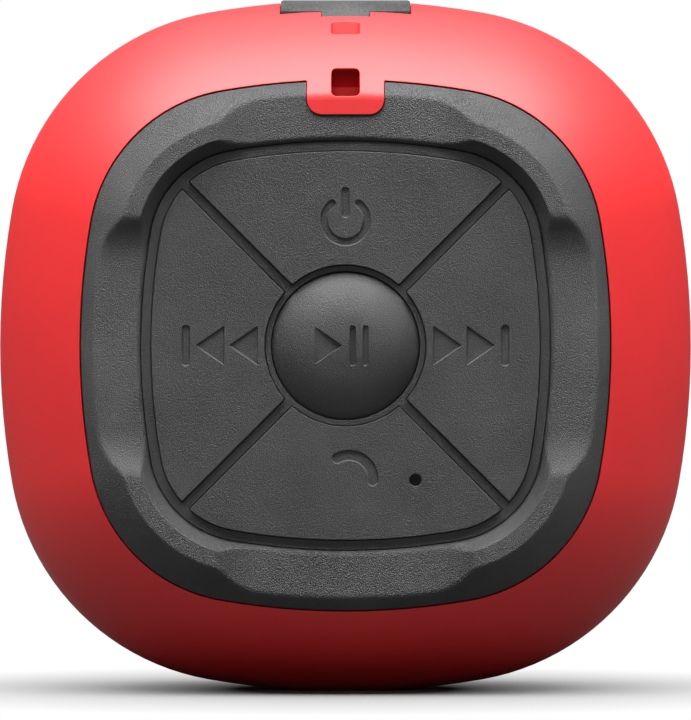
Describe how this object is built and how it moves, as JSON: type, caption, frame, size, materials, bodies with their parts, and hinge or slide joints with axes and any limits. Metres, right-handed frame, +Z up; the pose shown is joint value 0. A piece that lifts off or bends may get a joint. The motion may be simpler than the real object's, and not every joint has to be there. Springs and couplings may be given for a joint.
{
  "type": "wireless speaker",
  "caption": "Rounded-square portable speaker: soft sleeve over a two-shell case, keypad and domed middle key behind, port flap on top, perforated grille and cone driver in front.",
  "frame": {"origin": "middle of the plane of the foot flat that the speaker stands on, under the middle of the body", "axes": "+Z up, -Y out of the control face, +Y out of the grille, +X to the right as the controls are faced"},
  "size_m": [0.096, 0.049, 0.0958],
  "materials": {
    "red_sleeve": "matt soft-touch silicone",
    "textured_black": "fine spark-eroded texture",
    "key_rubber": "fine grained rubber",
    "housing_black": "moulded",
    "gasket_rubber": "smooth",
    "grille_black": "satin powder coat",
    "acoustic_cloth": "fine open weave",
    "cover_grey": "matt rubber",
    "circuit_board": "solder mask",
    "switch_shell": "tinned",
    "switch_button": "moulded",
    "chip_black": "moulded",
    "tinned_steel": "tinned",
    "jack_black": "moulded",
    "ferrite": "sintered",
    "capacitor_can": "satin",
    "connector_white": "moulded",
    "ribbon_film": "film",
    "battery_foil": "laminate",
    "wire_red": "insulation",
    "wire_black": "insulation",
    "basket_steel": "painted",
    "motor_steel": "zinc plated",
    "magnet_nickel": "nickel plated",
    "coil_copper": "enamelled wire",
    "cone_paper": "pressed paper",
    "surround_rubber": "moulded",
    "spider_cloth": "resin-dipped cloth",
    "gasket_foam": "closed-cell foam",
    "screw_steel": "zinc plated",
    "terminal_board": "laminate"
  },
  "bodies": {
    "case": {"outer_sleeve": "red_sleeve", "rear_frame": "textured_black", "rear_housing": "housing_black", "front_housing": "housing_black", "housing_gasket": "gasket_rubber", "front_bezel": "textured_black", "grille": "grille_black", "grille_cloth": "acoustic_cloth", "keypad_membrane": "key_rubber", "control_board": "circuit_board", "switch_bodies": "switch_shell", "microphone": "tinned_steel", "microphone_boot": "gasket_rubber", "main_board": "circuit_board", "usb_socket": "tinned_steel", "aux_jack": "jack_black", "radio_module": "tinned_steel", "amplifier_chip": "chip_black", "inductors": "ferrite", "capacitors": "capacitor_can", "ribbon_connectors": "connector_white", "ribbon_cable": "ribbon_film", "battery": "battery_foil", "battery_bracket": "housing_black", "battery_leads": "wire_red", "speaker_leads": "wire_black", "driver_frame": "basket_steel", "driver_terminals": "terminal_board", "driver_yoke": "motor_steel", "driver_magnet": "magnet_nickel", "driver_pole_piece": "motor_steel", "surround": "surround_rubber", "spider": "spider_cloth", "driver_gasket": "gasket_foam", "port_cover_anchor": "cover_grey", "control_board_screws": "screw_steel", "bracket_screws": "screw_steel", "main_board_screws": "screw_steel", "driver_screws": "screw_steel", "case_screws": "screw_steel"},
    "power_button": {"power_key": "key_rubber", "power_plunger": "switch_button"},
    "previous_button": {"previous_key": "key_rubber", "previous_plunger": "switch_button"},
    "next_button": {"next_key": "key_rubber", "next_plunger": "switch_button"},
    "call_button": {"call_key": "key_rubber", "call_plunger": "switch_button"},
    "play_pause_button": {"play_pause_key": "key_rubber", "play_pause_plunger": "switch_button"},
    "port_cover": {"port_cover": "cover_grey"},
    "cone_assembly": {"cone": "cone_paper", "dust_cap": "cone_paper", "voice_coil": "coil_copper"}
  },
  "joints": [
    {"name": "power_press", "type": "slide", "parent": "case", "child": "power_button", "axis": [0, 1, 0], "range_m": [0, 0.0005], "stiffness_N_per_m": 600, "springref_m": -0.0015},
    {"name": "previous_press", "type": "slide", "parent": "case", "child": "previous_button", "axis": [0, 1, 0], "range_m": [0, 0.0005], "stiffness_N_per_m": 600, "springref_m": -0.0015},
    {"name": "next_press", "type": "slide", "parent": "case", "child": "next_button", "axis": [0, 1, 0], "range_m": [0, 0.0005], "stiffness_N_per_m": 600, "springref_m": -0.0015},
    {"name": "call_press", "type": "slide", "parent": "case", "child": "call_button", "axis": [0, 1, 0], "range_m": [0, 0.0005], "stiffness_N_per_m": 600, "springref_m": -0.0015},
    {"name": "play_pause_press", "type": "slide", "parent": "case", "child": "play_pause_button", "axis": [0, 1, 0], "range_m": [0, 0.0005], "stiffness_N_per_m": 600, "springref_m": -0.0015},
    {"name": "port_cover_hinge", "type": "hinge", "parent": "case", "child": "port_cover", "pos_m": [0, 0.003, 0.09467], "axis": [-1, 0, 0], "range_deg": [0, 95]},
    {"name": "cone_travel", "type": "slide", "parent": "case", "child": "cone_assembly", "axis": [0, 1, 0], "range_m": [-0.0015, 0.0015], "stiffness_N_per_m": 1500, "deforming": ["surround", "spider"]}
  ]
}
